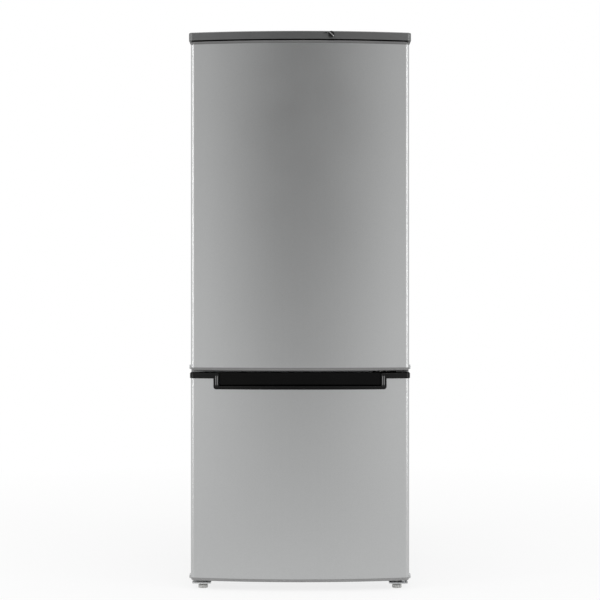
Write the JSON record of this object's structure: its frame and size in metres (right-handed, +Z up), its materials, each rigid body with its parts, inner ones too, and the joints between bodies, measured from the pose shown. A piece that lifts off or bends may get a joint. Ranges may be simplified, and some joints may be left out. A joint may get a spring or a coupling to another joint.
{
  "type": "two-door refrigerator",
  "caption": "Free-standing refrigerator with the freezer below, bowed silver doors hinged on the right, a recessed black grip, a dark top cover and a thermostat knob.",
  "frame": {"origin": "on the floor, under the middle of the bounding box", "axes": "+Z up, the doors face -Y, +X to the right of someone who faces the doors"},
  "size_m": [0.58, 0.62, 1.45],
  "materials": {
    "silver_paint": "metallic silver-grey paint",
    "side_paint": "silver-grey textured paint",
    "dark_plastic": "dark grey moulded plastic",
    "cap_plastic": "mid grey moulded plastic",
    "black_plastic": "black gloss moulded plastic",
    "knob_plastic": "black gloss moulded plastic",
    "liner_plastic": "white vacuum-formed plastic",
    "white_plastic": "white moulded plastic",
    "clear_plastic": "clear moulded plastic",
    "lamp_plastic": "milky translucent plastic",
    "lamp_glass": "frosted bulb",
    "shelf_glass": "toughened glass with polished edges",
    "gasket_rubber": "soft grey magnetic gasket",
    "foam": "rigid insulating foam",
    "galvanised": "galvanised sheet steel",
    "hinge_steel": "zinc-plated bracket steel",
    "screw_steel": "zinc-plated screws",
    "cooling_plate": "roll-bonded aluminium",
    "frost_tube": "white coated steel tube",
    "black_enamel": "black enamel",
    "black_rubber": "black rubber",
    "copper": "copper tube",
    "foot_plastic": "dark moulded plastic",
    "roller_plastic": "natural nylon"
  },
  "bodies": {
    "cabinet": {"left_side_panel": "side_paint", "right_side_panel": "side_paint", "top_panel": "side_paint", "back_panel": "galvanised", "base_plate": "galvanised", "centre_rail": "side_paint", "cabinet_foam": "foam", "fridge_liner": "liner_plastic", "freezer_liner": "liner_plastic", "fridge_evaporator": "cooling_plate", "freezer_evaporator": "frost_tube", "drain_tube": "white_plastic", "top_cover": "dark_plastic", "thermostat_body": "white_plastic", "top_hinge": "hinge_steel", "middle_hinge": "hinge_steel", "bottom_hinge": "hinge_steel", "left_foot_bracket": "hinge_steel", "hinge_screws": "screw_steel", "roller_axles": "screw_steel", "compressor_tray": "galvanised", "compressor": "black_enamel", "compressor_grommets": "black_rubber", "relay_box": "foot_plastic", "drip_tray": "foot_plastic", "refrigerant_pipes": "copper", "condenser": "black_enamel", "condenser_clips": "foot_plastic", "glass_shelves": "shelf_glass", "shelf_trims": "white_plastic", "lamp_cover": "lamp_plastic", "lamp_bulb": "lamp_glass", "light_switch": "white_plastic"},
    "fridge_door": {"fridge_door_panel": "silver_paint", "fridge_door_foam": "foam", "fridge_door_liner": "liner_plastic", "fridge_door_gasket": "gasket_rubber", "fridge_door_top_cap": "cap_plastic", "fridge_door_bottom_cap": "cap_plastic", "bottle_bin": "clear_plastic", "middle_bins": "clear_plastic", "dairy_bin": "clear_plastic"},
    "dairy_flap": {"dairy_flap": "clear_plastic"},
    "freezer_door": {"freezer_door_panel": "silver_paint", "freezer_door_foam": "foam", "freezer_door_liner": "liner_plastic", "freezer_door_gasket": "gasket_rubber", "freezer_door_handle": "black_plastic", "freezer_door_bottom_cap": "cap_plastic"},
    "thermostat_knob": {"thermostat_knob": "knob_plastic"},
    "light_switch_plunger": {"light_switch_plunger": "white_plastic"},
    "left_crisper": {"left_crisper": "clear_plastic"},
    "right_crisper": {"right_crisper": "clear_plastic"},
    "top_drawer": {"top_drawer": "clear_plastic"},
    "middle_drawer": {"middle_drawer": "clear_plastic"},
    "bottom_drawer": {"bottom_drawer": "clear_plastic"},
    "left_foot": {"left_foot": "roller_plastic"},
    "right_foot": {"right_foot": "roller_plastic"},
    "left_roller": {"left_roller": "roller_plastic"},
    "right_roller": {"right_roller": "roller_plastic"}
  },
  "joints": [
    {"name": "fridge_door_hinge", "type": "hinge", "parent": "cabinet", "child": "fridge_door", "pos_m": [0.27, -0.257, 0.998], "axis": [0, 0, 1], "range_deg": [0, 120]},
    {"name": "freezer_door_hinge", "type": "hinge", "parent": "cabinet", "child": "freezer_door", "pos_m": [0.27, -0.257, 0.293], "axis": [0, 0, 1], "range_deg": [0, 120]},
    {"name": "dairy_flap_hinge", "type": "hinge", "parent": "fridge_door", "child": "dairy_flap", "pos_m": [0, -0.223, 1.278], "axis": [1, 0, 0], "range_deg": [0, 80]},
    {"name": "thermostat_turn", "type": "hinge", "parent": "cabinet", "child": "thermostat_knob", "pos_m": [0.081, -0.303, 1.441], "axis": [0, -1, 0], "range_deg": [-120, 150]},
    {"name": "light_switch_press", "type": "slide", "parent": "cabinet", "child": "light_switch_plunger", "axis": [0, -1, 0], "range_m": [0, 0.006]},
    {"name": "left_crisper_slide", "type": "slide", "parent": "cabinet", "child": "left_crisper", "axis": [0, -1, 0], "range_m": [0, 0.22]},
    {"name": "right_crisper_slide", "type": "slide", "parent": "cabinet", "child": "right_crisper", "axis": [0, -1, 0], "range_m": [0, 0.22]},
    {"name": "top_drawer_slide", "type": "slide", "parent": "cabinet", "child": "top_drawer", "axis": [0, -1, 0], "range_m": [0, 0.164]},
    {"name": "middle_drawer_slide", "type": "slide", "parent": "cabinet", "child": "middle_drawer", "axis": [0, -1, 0], "range_m": [0, 0.164]},
    {"name": "bottom_drawer_slide", "type": "slide", "parent": "cabinet", "child": "bottom_drawer", "axis": [0, -1, 0], "range_m": [0, 0.164]},
    {"name": "left_foot_turn", "type": "hinge", "parent": "cabinet", "child": "left_foot", "pos_m": [-0.254, -0.25, 0.01], "axis": [0, 0, 1], "continuous": true},
    {"name": "right_foot_turn", "type": "hinge", "parent": "cabinet", "child": "right_foot", "pos_m": [0.254, -0.25, 0.01], "axis": [0, 0, 1], "continuous": true},
    {"name": "left_roller_spin", "type": "hinge", "parent": "cabinet", "child": "left_roller", "pos_m": [-0.235, 0.246, 0.016], "axis": [1, 0, 0], "continuous": true},
    {"name": "right_roller_spin", "type": "hinge", "parent": "cabinet", "child": "right_roller", "pos_m": [0.235, 0.246, 0.016], "axis": [1, 0, 0], "continuous": true}
  ],
  "couplings": [
    {"joint": "light_switch_press", "follows": "fridge_door_hinge", "m_per_rad": 0.002864},
    {"joint": "left_crisper_slide", "follows": "fridge_door_hinge", "m_per_rad": 0.105},
    {"joint": "right_crisper_slide", "follows": "fridge_door_hinge", "m_per_rad": 0.105},
    {"joint": "top_drawer_slide", "follows": "freezer_door_hinge", "m_per_rad": 0.078},
    {"joint": "middle_drawer_slide", "follows": "freezer_door_hinge", "m_per_rad": 0.078},
    {"joint": "bottom_drawer_slide", "follows": "freezer_door_hinge", "m_per_rad": 0.078}
  ]
}
